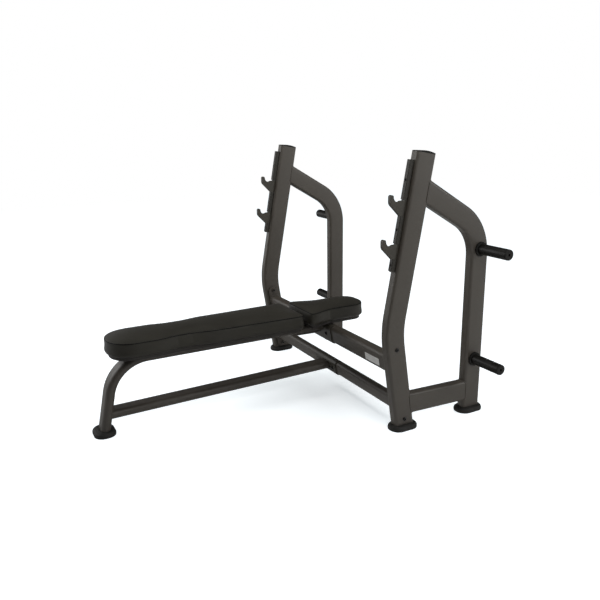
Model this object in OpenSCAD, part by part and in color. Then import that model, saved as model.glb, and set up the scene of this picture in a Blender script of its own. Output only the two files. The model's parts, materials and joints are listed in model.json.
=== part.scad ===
// Flat bench press rack for an olympic bar: two side frames of bent tube, two crossbeams,
// a bench on one front leg, two pads, two bar catches with two heights each, four plate horns.
// Millimetres, +Z up, +Y towards the head end, +X to the right of someone lying on the bench
// with the head towards +Y seen from above. The origin is on the floor at the middle of the footprint.

/* [Overall] */
// Length over the feet, from the bench foot to the rear feet
overall_length = 1681; // [1640:1:1730]
// Distance between the middle planes of the two side frames
frame_spacing = 1210; // [1180:5:1240]
// Height of the top end of the upright tube, on its middle line
upright_top = 1195; // [1180:5:1240]

/* [Frame tube] */
// Depth of the side frame tube, front to rear
tube_depth = 96; // [92:1:100]
// Width of the side frame tube, across the rack
tube_width = 48; // [46:1:52]
// Corner radius of the side frame tube
tube_corner = 13; // [10:1:16]
// Wall of all tubes
tube_wall = 3; // [2:0.5:4]

/* [Side frames] */
// Height at which the upright bends
bend_height = 458; // [450:1:470]
// Forward lean of the upright below the bend, degrees
lower_lean = 8.9; // [8:0.1:10]
// Backward lean of the upright above the bend, degrees
upper_lean = 10.5; // [9.5:0.1:11.5]
// Middle line radius of the upright bend
upright_bend = 420; // [380:10:460]
// Distance from the upright bend back to the rear post
post_setback = 452; // [440:2:470]
// Height at which the brace line meets the post line
brace_corner = 863; // [850:1:880]
// Slope of the brace above the level, degrees
brace_slope = 30.3; // [29:0.1:32]
// Middle line radius of the bend from post to brace
brace_bend = 207; // [195:1:220]
// Height of the side rail at the upright bend line
rail_height = 119; // [114:1:126]
// Fall of the side rail towards the rear, degrees
rail_fall = 1.6; // [1:0.1:2.2]

/* [Crossbeams] */
// Height of the middle of the upper crossbeam
upper_beam_height = 304; // [298:1:310]
// Depth of the upper crossbeam, front to rear
upper_beam_depth = 52; // [46:1:58]
// Height of the upper crossbeam section
upper_beam_tall = 87; // [84:1:89]
// Height of the middle of the lower crossbeam
lower_beam_height = 115; // [110:1:120]
// Depth of the lower crossbeam, front to rear
lower_beam_depth = 42; // [38:1:46]
// Height of the lower crossbeam section
lower_beam_tall = 71; // [67:1:73]

/* [Bench] */
// Width of the oval bench tube, across the bench
bench_tube_width = 88; // [84:1:92]
// Thickness of the oval bench tube
bench_tube_depth = 42; // [40:1:44]
// Height of the middle of the bench tube under the pads
bench_tube_height = 332; // [330:1:334]
// Lean of the front leg from upright, degrees
leg_lean = 11.6; // [10:0.1:13]
// Middle line radius of the bend from leg to bench tube
leg_bend = 180; // [170:2:190]
// Height of the stretcher where it leaves the leg
stretcher_height = 92; // [88:1:96]
// Rise of the stretcher towards the rack, degrees
stretcher_rise = 1.1; // [0.8:0.1:1.3]

/* [Pads] */
// Height of the seam round the top of the pads
seam_height = 432; // [428:1:438]
// Rise of the crown above the seam
pad_crown = 12; // [8:1:16]
// Distance from the front of the head pad back to the middle of the upper crossbeam
head_pad_lead = 146; // [140:1:150]
// Length of the head pad
head_pad_length = 342; // [334:1:350]
// Gap between the two pads
pad_gap = 41; // [36:1:46]

/* [Bar catches] */
// Height of the bottom of the lower bar cradles
lower_cradle = 829; // [820:1:840]
// Height of the bottom of the upper bar cradles
upper_cradle = 1006; // [996:1:1016]
// Clear width of a cradle for the bar
cradle_width = 44; // [40:1:48]
// Thickness of the hook plate
hook_plate = 16; // [12:1:18]
// Width of the guard strips
guard_width = 22; // [20:1:26]
// How far the guard strips stand out in front of the upright
guard_depth = 21; // [20:1:26]
// Height of the bottom of the hook plate
catch_bottom = 722; // [712:1:732]
// Height of the top of the hook plate
catch_top = 1169; // [1150:1:1175]

/* [Plate horns] */
// Outside diameter of the plate horns
horn_diameter = 48; // [46:0.5:49]
// Length of the plate horns beyond the post
horn_length = 168; // [150:1:180]
// Height of the lower plate horns
lower_horn = 261; // [240:1:290]
// Height of the upper plate horns
upper_horn = 774; // [740:1:780]

/* [Hidden] */
$fn = 96;
fit_gap = 0.2;
// Ring in the wall at the end of a bend: depths below the surface, length, and the joint it bridges
tie_depth = [tube_wall / 3, tube_wall * 2 / 3];
tie_length = 4;
joint_gap = 0.01;
frame_x = frame_spacing / 2;
face_x = frame_x + tube_width / 2;
inner_x = frame_x - tube_width / 2;

// Rubber feet: margin round the tube, thickness under the tube end, and tiers as [inset, height]
foot_margin = 21;
foot_floor = 8;
foot_tiers = [[0, 14], [5, 20], [11, 26]];
bench_foot = [124, 96];

post_y = overall_length / 2 - tube_depth / 2 - foot_margin;
bend_y = post_y - post_setback;
leg_y = -overall_length / 2 + bench_foot[1] / 2 - foot_floor * tan(leg_lean);

// Middle line of the upright at a height, taken as two straight lines
function upright_y(z) = bend_y + (z < bend_height
    ? (bend_height - z) * tan(lower_lean)
    : (z - bend_height) * tan(upper_lean));
// Front face of the upright above the bend at a height
function front_y(z) = upright_y(z) - tube_depth / 2 / cos(upper_lean);
function rail_z(y) = rail_height - (y - bend_y) * tan(rail_fall);
function leg_mid_y(z) = leg_y + z * tan(leg_lean);

upper_beam = [upper_beam_depth, upper_beam_tall];
lower_beam = [lower_beam_depth, lower_beam_tall];
upper_beam_y = upright_y(upper_beam_height);
lower_beam_y = upright_y(lower_beam_height);
beam_corner = 18;
end_plate = [60, 8];
end_plate_span = [30, 402];
saddle_plate = 5;
upper_saddle_width = 222;
lower_saddle_width = 196;

// Fasteners: thread diameter, head diameter, head height
frame_bolt = [10, 18, 6];
saddle_bolt = [10, 18, 6];
pad_bolt = [8, 16, 5];
guard_screw = [6, 11, 3.5];
nut_height = 8;
nut_width = 17;
frame_bolt_heights = [51, 382];
upper_saddle_bolt_x = 64;
lower_saddle_bolt_x = 68;

board = 14;
board_inset = 12;
board_bottom = bench_tube_height + bench_tube_depth / 2;
pad_bottom = board_bottom + board;
pad_front = leg_y + 41.5;
head_pad_start = upper_beam_y - head_pad_lead;
main_pad_length = head_pad_start - pad_gap - pad_front;
main_pad_end = pad_front + main_pad_length;
// Where the bench tube's middle line meets the leaning front of the upper saddle
bench_end_y = upper_beam_y - (upper_beam[0] / 2 + saddle_plate) / cos(lower_lean)
    - (bench_tube_height - upper_beam_height) * tan(lower_lean);
upper_beam_top = upper_beam_height + (upper_beam[1] / 2 - beam_corner) * cos(lower_lean)
    + (upper_beam[0] / 2 - beam_corner) * sin(lower_lean) + beam_corner;
support_bar = [60, board_bottom - upper_beam_top];
main_bolt_y = [pad_front + 190, pad_front + 460, pad_front + 730];
head_bolt_y = [head_pad_start + 75, bench_end_y + 170];

horn_heights = [lower_horn, upper_horn];
cradle_heights = [lower_cradle, upper_cradle];
catch_span = [catch_bottom, catch_top];
collar = [64, 10];
horn_cap = 6;
cap_hole = 11;
screw_heights = [747, 890, 1090];
guard_wall = 4;
guard_clear = 6;
guard_spans = [[catch_span[0], cradle_heights[0] - 57],
    [cradle_heights[0] + guard_clear, cradle_heights[1] - 60],
    [cradle_heights[1] + guard_clear, catch_span[1]]];
// Hook: tip width, rise of the tip above the cradle bottom, ledge under a guard, radius and height of
// the middle of the round under the tip, turn of the underside
hook_tip = 17;
hook_rise = 30;
ledge = 4.25;
belly = [22, 2.6];
underside_turn = 45;

paint = [0.29, 0.28, 0.27];
black_paint = [0.17, 0.17, 0.16];
rubber = [0.13, 0.13, 0.13];
vinyl = [0.16, 0.16, 0.15];
plywood = [0.12, 0.11, 0.1];
oxide = [0.09, 0.09, 0.09];

SIDES = [["left", -1], ["right", 1]];

// Profiles

// Rounded rectangle about the origin: two squares and four corner circles
module rounded_outline(w, d, r) {
    square([w - 2 * r, d], center = true);
    square([w, d - 2 * r], center = true);
    for (x = [-1, 1], y = [-1, 1]) translate([x * (w / 2 - r), y * (d / 2 - r)]) circle(r);
}

// Flat oval about the origin: a square with a circle at each end, long way along x
module oval_outline(w, d) {
    square([w - d, d], center = true);
    for (x = [-1, 1]) translate([x * (w - d) / 2, 0]) circle(d / 2);
}

module frame_outline() rounded_outline(tube_width, tube_depth, tube_corner);

// Ring between two depths below the surface of the side frame tube
module frame_ring(outer, inner) difference() {
    rounded_outline(tube_width - 2 * outer, tube_depth - 2 * outer, tube_corner - outer);
    rounded_outline(tube_width - 2 * inner, tube_depth - 2 * inner, tube_corner - inner);
}

module bench_outline() oval_outline(bench_tube_width, bench_tube_depth);

// Ring between two depths below the surface of the bench tube
module bench_ring(outer, inner) difference() {
    oval_outline(bench_tube_width - 2 * outer, bench_tube_depth - 2 * outer);
    oval_outline(bench_tube_width - 2 * inner, bench_tube_depth - 2 * inner);
}

// The first child carried along straight runs and bends. Each leg is [length, bend angle, bend radius],
// the run starts at the origin along +Z and a positive angle bends it towards +Y. The second child is
// a ring inside the wall that ties each bend to the next straight run.
module tube_run(legs, i = 0) {
    run = legs[i][0];
    joint = i > 0 ? joint_gap : 0;
    translate([0, 0, joint]) linear_extrude(run - joint) children(0);
    if (i > 0) translate([0, 0, -tie_length / 2]) linear_extrude(tie_length) children(1);
    if (i + 1 < len(legs)) {
        angle = legs[i][1];
        radius = legs[i][2];
        translate([0, 0, run]) {
            translate([0, radius, 0]) rotate([90, 0, -90]) rotate_extrude(angle = angle)
                translate([radius, 0]) rotate(90) children(0);
            translate([0, radius * (1 - cos(angle)), radius * sin(angle)]) rotate([-angle, 0, 0])
                tube_run(legs, i + 1) {
                    children(0);
                    children(1);
                }
        }
    }
}

// Everything below a height, to cut a tube end level
module below(z) translate([-2000, -2000, z - 400]) cube([4000, 4000, 400]);

// A profile drawn in the Y-Z plane and carried along X, centred on the origin
module across(length) rotate([90, 0, 90]) linear_extrude(length, center = true) children();

// Cylinder along X that starts at the origin and points outwards on the given side
module along_x(d, length, side = 1) rotate([0, 90 * side, 0]) cylinder(d = d, h = length);

// Side frames

module upright_run() {
    bend = lower_lean + upper_lean;
    tangent = upright_bend * tan(bend / 2);
    below_floor = 30;
    start = (bend_height + below_floor) / cos(lower_lean);
    translate([0, upright_y(-below_floor), -below_floor]) rotate([lower_lean, 0, 0])
        tube_run([[start - tangent, bend, upright_bend],
                  [(upright_top - bend_height) / cos(upper_lean) - tangent]]) {
            children(0);
            children(1);
        }
}

module upright_wall(side) translate([side * frame_x, 0, 0]) upright_run() {
    frame_ring(0, tube_wall);
    frame_ring(tie_depth[0], tie_depth[1]);
}

module upright_envelope(side) translate([side * frame_x, 0, 0]) upright_run() {
    frame_outline();
    frame_ring(tie_depth[0], tie_depth[1]);
}

// Length of the brace from the corner on the post line to the middle line of the upright
brace_reach = (post_setback - (brace_corner - bend_height) * tan(upper_lean))
    / (cos(brace_slope) + sin(brace_slope) * tan(upper_lean));

module post_run() {
    bend = 90 - brace_slope;
    tangent = brace_bend * tan(bend / 2);
    translate([0, post_y, 0]) mirror([0, 1, 0])
        tube_run([[brace_corner - tangent, bend, brace_bend], [brace_reach - tangent]]) {
            children(0);
            children(1);
        }
}

module frame_bolt_places(side) for (z = frame_bolt_heights)
    translate([side * face_x, upright_y(z), z]) children();

module upright(side) color(paint) difference() {
    upright_wall(side);
    below(foot_floor);
    frame_bolt_places(side) translate([side, 0, 0]) along_x(frame_bolt[0] + 1, tube_width + 2, -side);
}

module rear_post(side) color(paint) difference() {
    translate([side * frame_x, 0, 0]) post_run() {
        frame_ring(0, tube_wall);
        frame_ring(tie_depth[0], tie_depth[1]);
    }
    upright_envelope(side);
    below(foot_floor);
}

// The rail is drawn a little narrower than the tubes that it is coped to
module rail_ring() difference() {
    rounded_outline(tube_width - 1, tube_depth - 1, tube_corner);
    rounded_outline(tube_width - 1 - 2 * tube_wall, tube_depth - 1 - 2 * tube_wall, tube_corner - tube_wall);
}

module side_rail(side) color(paint) {
    start = upright_y(rail_height);
    difference() {
        translate([side * frame_x, start, rail_z(start)]) rotate([-90 - rail_fall, 0, 0])
            linear_extrude(post_y - start) rail_ring();
        upright_envelope(side);
        translate([side * frame_x, post_y, 0]) linear_extrude(brace_corner / 2) frame_outline();
    }
}

// End cap: a crowned lid over the tube wall and a plug inside it
module upright_cap(side) {
    lid = 9;
    plug = 16;
    crown = 190;
    inset = tube_wall + fit_gap;
    color(rubber) translate([side * frame_x, upright_y(upright_top), upright_top])
        rotate([-upper_lean, 0, 0]) {
            intersection() {
                linear_extrude(lid) frame_outline();
                translate([0, 0, lid - crown]) across(tube_width) circle(crown, $fn = 360);
            }
            translate([0, 0, -plug]) linear_extrude(plug)
                rounded_outline(tube_width - 2 * inset, tube_depth - 2 * inset, tube_corner - inset);
        }
}

// Rubber foot, lower towards its rim in steps; children are the tube end that stands in it
module rubber_foot(length, width, corner) difference() {
    union() for (tier = foot_tiers) linear_extrude(tier[1])
        rounded_outline(width - 2 * tier[0], length - 2 * tier[0], corner - tier[0]);
    difference() {
        children();
        below(foot_floor);
    }
}

module frame_foot(y, side) color(rubber) {
    width = tube_width + 2 * foot_margin;
    length = tube_depth + 2 * foot_margin;
    translate([side * frame_x, y, 0]) rubber_foot(length, width, width / 2 - 2)
        translate([0, -y, 0]) children();
}

module front_foot(side) frame_foot(upright_y(foot_floor), side)
    translate([-side * frame_x, 0, 0]) upright_envelope(side);

module rear_foot(side) frame_foot(post_y, side)
    translate([0, post_y, 0]) linear_extrude(brace_corner / 2) frame_outline();

// Crossbeams

module beam_wall(section) difference() {
    rounded_outline(section[0], section[1], beam_corner);
    rounded_outline(section[0] - 2 * tube_wall, section[1] - 2 * tube_wall, beam_corner - tube_wall);
}

module saddle_bolt_places(x) for (side = [-1, 1]) translate([side * x, 0, 0]) children();

// Place on the middle line of a crossbeam, which leans with the lower part of the uprights
module on_beam(y, z) translate([0, y, z]) rotate([lower_lean, 0, 0]) children();

// Hollow beam between the end plates with a pair of bolt holes in its front wall
module crossbeam(y, z, section, bolt_x) color(paint) on_beam(y, z) difference() {
    across(2 * (inner_x - end_plate[1])) beam_wall(section);
    saddle_bolt_places(bolt_x) rotate([90, 0, 0])
        cylinder(d = saddle_bolt[0] + 2 * fit_gap, h = section[0]);
}

module upper_crossbeam()
    crossbeam(upper_beam_y, upper_beam_height, upper_beam, upper_saddle_bolt_x);

module lower_crossbeam()
    crossbeam(lower_beam_y, lower_beam_height, lower_beam, lower_saddle_bolt_x);

// Plate on the inner side of an upright that both crossbeams are welded to
module end_plate_solid(side) color(paint) difference() {
    middle = (end_plate_span[0] + end_plate_span[1]) / 2;
    length = (end_plate_span[1] - end_plate_span[0]) / cos(lower_lean);
    translate([side * (inner_x - end_plate[1] / 2), upright_y(middle), middle]) rotate([lower_lean, 0, 0])
        across(end_plate[1]) rounded_outline(end_plate[0], length, end_plate[0] / 2 - 2);
    frame_bolt_places(side) along_x(frame_bolt[0] + 1, tube_width + end_plate[1] + 1, -side);
}

// Button head bolt along +Z with its head below the origin and a hexagon socket
module button_bolt(size, length) {
    dome = size[1] * 0.75;
    difference() {
        translate([0, 0, -size[2]]) intersection() {
            cylinder(d = size[1], h = size[2]);
            translate([0, 0, dome]) sphere(dome);
        }
        translate([0, 0, -size[2] - 1]) cylinder(d = size[0] * 0.7, h = size[2] * 0.6 + 1, $fn = 6);
    }
    cylinder(d = size[0], h = length);
}

module frame_bolts() color(oxide) for (s = SIDES) frame_bolt_places(s[1])
    rotate([0, -90 * s[1], 0]) button_bolt(frame_bolt, tube_width + end_plate[1] + nut_height + 3);

module frame_nuts() color(oxide) for (s = SIDES) frame_bolt_places(s[1])
    translate([-s[1] * (tube_width + end_plate[1]), 0, 0]) rotate([0, -90 * s[1], 0]) difference() {
        cylinder(d = nut_width / cos(30), h = nut_height, $fn = 6);
        translate([0, 0, -1]) cylinder(d = frame_bolt[0] + 2 * fit_gap, h = nut_height + 2);
    }

// Bench

module bench_run() {
    bend = 90 - leg_lean;
    tangent = leg_bend * tan(bend / 2);
    below_floor = 30;
    corner_y = leg_mid_y(bench_tube_height);
    start = (bench_tube_height + below_floor) / cos(leg_lean);
    translate([0, leg_mid_y(-below_floor), -below_floor]) rotate([-leg_lean, 0, 0])
        tube_run([[start - tangent, bend, leg_bend], [upper_beam_y - corner_y - tangent]]) {
            children(0);
            children(1);
        }
}

module bench_envelope() bench_run() {
    bench_outline();
    bench_ring(tie_depth[0], tie_depth[1]);
}

module bench_bolt_places() for (y = concat(main_bolt_y, [head_bolt_y[0]]))
    translate([0, y, bench_tube_height - bench_tube_depth / 2]) children();

module bench_tube() color(paint) difference() {
    bench_run() {
        bench_ring(0, tube_wall);
        bench_ring(tie_depth[0], tie_depth[1]);
    }
    below(foot_floor);
    behind_saddle(upper_beam_y, upper_beam_height, upper_beam);
    bench_bolt_places() translate([0, 0, -1]) cylinder(d = pad_bolt[0] + 1, h = bench_tube_depth + 2);
}

// Everything from the front of a saddle to the rear
module behind_saddle(y, z, section) on_beam(y, z)
    translate([-frame_spacing / 2, -section[0] / 2 - saddle_plate, -overall_length / 2])
        cube([frame_spacing, overall_length, overall_length]);

module bench_foot_shoe() color(rubber) translate([0, leg_mid_y(foot_floor), 0])
    rubber_foot(bench_foot[1], bench_foot[0], bench_foot[1] / 2 - 4)
        translate([0, -leg_mid_y(foot_floor), 0]) bench_envelope();

// Flat oval a little slimmer than the bench tube, less deep below its surface
module stretcher_outline(deep)
    oval_outline(bench_tube_width - 4 - 2 * deep, bench_tube_depth - 2 - 2 * deep);

// Level lower tube between the leg and the lower crossbeam, coped round the leg
module stretcher() color(paint) {
    start = leg_mid_y(stretcher_height);
    difference() {
        translate([0, start, stretcher_height]) rotate([stretcher_rise - 90, 0, 0])
            linear_extrude(overall_length) difference() {
                stretcher_outline(0);
                stretcher_outline(tube_wall);
            }
        bench_envelope();
        behind_saddle(lower_beam_y, lower_beam_height, lower_beam);
    }
}

// Plate formed round the front of a crossbeam, half way over it, with a hole on each side of the tube
module saddle(y, z, section, width, bolt_x) color(black_paint) on_beam(y, z) difference() {
    wrap = section[0] * 0.1;
    across(width) difference() {
        rounded_outline(section[0] + 2 * saddle_plate, section[1] + 2 * saddle_plate,
                        beam_corner + saddle_plate);
        rounded_outline(section[0], section[1], beam_corner);
        translate([-wrap, -section[1]]) square([section[0] + wrap, 2 * section[1]]);
    }
    saddle_bolt_places(bolt_x) rotate([90, 0, 0]) cylinder(d = saddle_bolt[0] + 1, h = section[0]);
}

module upper_saddle()
    saddle(upper_beam_y, upper_beam_height, upper_beam, upper_saddle_width, upper_saddle_bolt_x);

module lower_saddle()
    saddle(lower_beam_y, lower_beam_height, lower_beam, lower_saddle_width, lower_saddle_bolt_x);

module saddle_bolt_row(y, z, section, x) on_beam(y, z) translate([0, -section[0] / 2 - saddle_plate, 0])
    saddle_bolt_places(x) rotate([-90, 0, 0]) button_bolt(saddle_bolt, saddle_plate + 2 * tube_wall + 12);

module saddle_bolts() color(oxide) {
    saddle_bolt_row(upper_beam_y, upper_beam_height, upper_beam, upper_saddle_bolt_x);
    saddle_bolt_row(lower_beam_y, lower_beam_height, lower_beam, lower_saddle_bolt_x);
}

// Rib under the rear end of the bench tube
module bench_gusset() color(paint) {
    thickness = 10;
    depth = 17;
    run_in = 75;
    length = 198;
    half = bench_tube_depth / 2;
    translate([0, bench_end_y, bench_tube_height - half]) across(thickness)
        polygon([[half * tan(lower_lean), 0], [-length, 0], [-length + run_in, -depth],
                 [(half + depth) * tan(lower_lean), -depth]]);
}

// Flat bar on the upper crossbeam that carries the head pad behind the bench tube
module head_support_bar() color(paint) {
    start = upper_beam_y - 9;
    end = head_bolt_y[1] + 30;
    difference() {
        translate([0, (start + end) / 2, board_bottom - support_bar[1]]) linear_extrude(support_bar[1])
            rounded_outline(support_bar[0], end - start, 8);
        support_bolt_places() translate([0, 0, -1]) cylinder(d = pad_bolt[0] + 1, h = support_bar[1] + 2);
    }
}

module support_bolt_places() translate([0, head_bolt_y[1], board_bottom - support_bar[1]]) children();

// Pads

// Half width of a pad at a distance from its front, by straight stretches blended with cosines
function ease(t) = t <= 0 ? 0 : t >= 1 ? 1 : (1 - cos(180 * t)) / 2;
function blend(stops, t, i = 0) = i + 2 > len(stops) - 1 || t < stops[i + 1][0]
    ? stops[i][1] + (stops[i + 1][1] - stops[i][1])
        * ease((t - stops[i][0]) / (stops[i + 1][0] - stops[i][0]))
    : blend(stops, t, i + 1);

// Main pad: seat, narrow waist, wide shoulders; head pad: wide front, narrow rear
main_stops = [[0, 120], [200, 120], [300, 105], [345, 105], [480, 123], [main_pad_length, 133]];
head_stops = [[0, 128], [145, 91], [head_pad_length, 91]];

// Plan of a pad as points: the right edge from front to rear, then the mirrored left edge back.
// Each end is a rounded corner of its own radius; a radius of the full half width gives a round nose.
function edge_points(stops, length, front_r, rear_r, steps, corner_steps) = concat(
    [for (i = [0 : corner_steps]) let (a = 90 * i / corner_steps)
        [blend(stops, front_r) - front_r * (1 - sin(a)), front_r * (1 - cos(a))]],
    [for (i = [1 : steps - 1]) let (t = front_r + (length - front_r - rear_r) * i / steps)
        [blend(stops, t), t]],
    [for (i = [0 : corner_steps]) let (a = 90 * i / corner_steps)
        [blend(stops, length - rear_r) - rear_r * (1 - cos(a)), length - rear_r * (1 - sin(a))]]);
function mirrored(points) = [for (i = [len(points) - 1 : -1 : 0]) [-points[i][0], points[i][1]]];
function plan(points) = concat(points, mirrored(points));
function unit(v) = v / max(norm(v), 0.001);
// Outline moved inwards by a distance, along the normal at each point
function inset(p, distance) = [for (i = [0 : len(p) - 1])
    let (along = unit(p[(i + 1) % len(p)] - p[(i - 1 + len(p)) % len(p)]))
        p[i] + distance * [-along[1], along[0]]];
// Outline drawn towards its middle line by a share
function shrink(p, share, length) = [for (q = p) [q[0] * (1 - share), length / 2 + (q[1] - length / 2)
    * (1 - share * 0.35)]];

// Rings of a pad from the underside up: [inset, height], roll at the base, upright side, seam, crown
side_rings = [[6, pad_bottom], [-2.5, pad_bottom + 3], [-5, pad_bottom + 11], [-3, pad_bottom + 24],
    [0.3, seam_height - 27], [0.8, seam_height - 12], [0, seam_height], [2.5, seam_height + 1.5]];
crown_rings = [0.1, 0.25, 0.5, 0.75, 0.94];
function crown_rise(s) = 1.5 + (pad_crown - 1.5) * (1 - pow(1 - s, 2.2));

module padded(y0, points, length) {
    outline = plan(points);
    n = len(outline);
    top = inset(outline, side_rings[7][0]);
    sides = [for (r = side_rings) [for (q = inset(outline, r[0])) [q[0], y0 + q[1], r[1]]]];
    crowns = [for (s = crown_rings) [for (q = shrink(top, s, length))
        [q[0], y0 + q[1], seam_height + crown_rise(s)]]];
    rings = concat(sides, crowns);
    m = len(rings);
    skin = [for (k = [0 : m - 2], i = [0 : n - 1], f = [0, 1]) let (j = (i + 1) % n)
        f == 0 ? [k * n + i, k * n + n + i, k * n + j] : [k * n + j, k * n + n + i, k * n + n + j]];
    half = n / 2;
    // Strips across from the right edge to the mirrored left edge close the underside and the crown
    base = [for (i = [0 : half - 2], f = [0, 1])
        f == 0 ? [i, i + 1, n - 1 - i] : [i + 1, n - 2 - i, n - 1 - i]];
    lid = [for (t = base) [for (v = [2, 1, 0]) (m - 1) * n + t[v]]];
    polyhedron([for (r = rings) each r], concat(skin, base, lid));
}

main_edge = edge_points(main_stops, main_pad_length, 113, 22, 22, 8);
head_edge = edge_points(head_stops, head_pad_length, 24, 70, 14, 8);

module main_pad() color(vinyl) padded(pad_front, main_edge, main_pad_length);

module head_pad() color(vinyl) padded(head_pad_start, head_edge, head_pad_length);

// Board under a pad, its outline drawn in from the pad's
module pad_board(y0, points, bolts) color(plywood) difference() {
    translate([0, y0, board_bottom]) linear_extrude(board) polygon(inset(plan(points), board_inset));
    for (y = bolts) translate([0, y, board_bottom - 1]) cylinder(d = pad_bolt[0] + 1, h = board + 2);
}

module main_pad_board() pad_board(pad_front, main_edge, main_bolt_y);

module head_pad_board() pad_board(head_pad_start, head_edge, head_bolt_y);

module pad_bolts() color(oxide) {
    bench_bolt_places() button_bolt(pad_bolt, bench_tube_depth + board - 1);
    support_bolt_places() button_bolt(pad_bolt, support_bar[1] + board - 1);
}

// Bar catches

// Side view of the hook plate, x forwards and y up: a strip along the upright and a hook at each height
module hook_outline() {
    body = guard_depth - guard_wall;
    low = catch_span[0];
    high = catch_span[1];
    polygon([[-front_y(low), low], [body - front_y(low), low],
             [body - front_y(high), high], [-front_y(high), high]]);
    for (z = cradle_heights) translate([-front_y(z), z]) hook();
}

// One hook, forwards along +x from the front face, with the cradle bottom at the origin's height
module hook() {
    radius = cradle_width / 2;
    middle = guard_depth + radius;
    reach = guard_depth + cradle_width + hook_tip;
    // Where the straight underside leaves the round of the hook, and where it runs into the body
    leave = [reach - belly[0] * (1 - cos(underside_turn)), belly[1] - belly[0] * sin(underside_turn)];
    run_in = [guard_depth + 5, leave[1] - (leave[0] - guard_depth - 5) / tan(underside_turn)];
    difference() {
        union() {
            translate([reach - hook_tip, belly[1]]) square([hook_tip, hook_rise - hook_tip / 2 - belly[1]]);
            translate([reach - hook_tip / 2, hook_rise - hook_tip / 2]) circle(hook_tip / 2);
            translate([reach - belly[0], belly[1]]) intersection() {
                circle(belly[0]);
                translate([0, -belly[0]]) square(belly[0]);
            }
            polygon([[reach - hook_tip, radius], [middle, radius], [middle, ledge], [1, ledge], [1, 0],
                     [1 - run_in[1] * tan(upper_lean), run_in[1]], run_in, leave,
                     [reach - belly[0], belly[1]], [reach - hook_tip, belly[1]]]);
        }
        translate([middle, radius]) circle(radius);
        translate([guard_depth, radius]) square([cradle_width, hook_rise]);
    }
}

// Place on the front face of an upright at a height: +Z is the way out of the face
module on_front(side, z) translate([side * frame_x, front_y(z), z]) rotate([90 - upper_lean, 0, 0])
    children();

module hook_plate_solid(side) color(black_paint) difference() {
    translate([side * frame_x, 0, 0]) rotate([90, 0, -90])
        linear_extrude(hook_plate, center = true) hook_outline();
    for (z = screw_heights) on_front(side, z) translate([0, 0, 6])
        cylinder(d = guard_screw[0], h = guard_depth);
}

// Guard strip: a channel that straddles the front edge of the hook plate
module guard_strip(side, index) color(rubber) difference() {
    span = guard_spans[index];
    length = (span[1] - span[0]) / cos(upper_lean);
    slot = hook_plate + 2 * fit_gap;
    inside = guard_depth - guard_wall + fit_gap;
    translate([side * frame_x, front_y(span[0]), span[0]]) rotate([-upper_lean, 0, 0])
        linear_extrude(length) difference() {
            translate([0, -guard_depth / 2]) rounded_outline(guard_width, guard_depth, 2.8);
            translate([-slot / 2, -inside]) square([slot, guard_depth]);
            translate([-guard_width / 2 - 1, -fit_gap]) square([guard_width + 2, guard_depth]);
        }
    on_front(side, screw_heights[index]) cylinder(d = guard_screw[0] + 1, h = 2 * guard_depth);
}

module guard_screws() color(oxide) for (s = SIDES, z = screw_heights)
    on_front(s[1], z) translate([0, 0, guard_depth]) rotate([180, 0, 0])
        button_bolt(guard_screw, guard_depth - 8);

// Plate horns

module horn_place(side, z) translate([side * face_x, post_y, z]) children();

// Tube with a slightly thinner seat at its base for the collar
module horn(side, z) color(black_paint) horn_place(side, z) difference() {
    union() {
        along_x(horn_diameter - 1, horn_length - horn_cap, side);
        translate([side * collar[1], 0, 0])
            along_x(horn_diameter, horn_length - horn_cap - collar[1], side);
    }
    translate([side, 0, 0]) along_x(horn_diameter - 2 * tube_wall, horn_length, side);
}

module horn_collars() color(rubber) for (s = SIDES, z = horn_heights) horn_place(s[1], z)
    rotate([0, 90 * s[1], 0]) rotate_extrude() translate([horn_diameter / 2, 0])
        collar_outline((collar[0] - horn_diameter) / 2);

// Half section of a collar with a rounded outer corner
module collar_outline(width) {
    corner = 4;
    square([width - corner, collar[1]]);
    square([width, collar[1] - corner]);
    translate([width - corner, collar[1] - corner]) circle(corner);
}

// End cap flush with the horn: a lid with a rounded edge, a plug and a hole through the middle
module horn_end_cap(side, z) color(rubber) horn_place(side, z) difference() {
    plug = 14;
    edge = 2;
    radius = (horn_diameter - 1) / 2;
    inside = horn_diameter - 2 * tube_wall - 2 * fit_gap;
    rotate([0, 90 * side, 0]) translate([0, 0, horn_length - horn_cap]) {
        rotate_extrude() {
            square([radius - edge, horn_cap]);
            square([radius, horn_cap - edge]);
            translate([radius - edge, horn_cap - edge]) circle(edge);
        }
        translate([0, 0, -plug]) cylinder(d = inside, h = plug);
    }
    along_x(cap_hole, horn_length + 1, side);
}

// Which node is drawn

upright(-1);  // left_upright
upright(1);  // right_upright
rear_post(-1);  // left_rear_post
rear_post(1);  // right_rear_post
side_rail(-1);  // left_side_rail
side_rail(1);  // right_side_rail
upright_cap(-1);  // left_upright_cap
upright_cap(1);  // right_upright_cap
front_foot(-1);  // left_front_foot
front_foot(1);  // right_front_foot
rear_foot(-1);  // left_rear_foot
rear_foot(1);  // right_rear_foot
end_plate_solid(-1);  // left_end_plate
end_plate_solid(1);  // right_end_plate
hook_plate_solid(-1);  // left_hook_plate
hook_plate_solid(1);  // right_hook_plate
guard_strip(-1, 0);  // left_lower_guard
guard_strip(1, 0);  // right_lower_guard
guard_strip(-1, 1);  // left_middle_guard
guard_strip(1, 1);  // right_middle_guard
guard_strip(-1, 2);  // left_upper_guard
guard_strip(1, 2);  // right_upper_guard
horn(-1, horn_heights[0]);  // left_lower_horn
horn(1, horn_heights[0]);  // right_lower_horn
horn(-1, horn_heights[1]);  // left_upper_horn
horn(1, horn_heights[1]);  // right_upper_horn
horn_end_cap(-1, horn_heights[0]);  // left_lower_horn_cap
horn_end_cap(1, horn_heights[0]);  // right_lower_horn_cap
horn_end_cap(-1, horn_heights[1]);  // left_upper_horn_cap
horn_end_cap(1, horn_heights[1]);  // right_upper_horn_cap
bench_foot_shoe();
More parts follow.
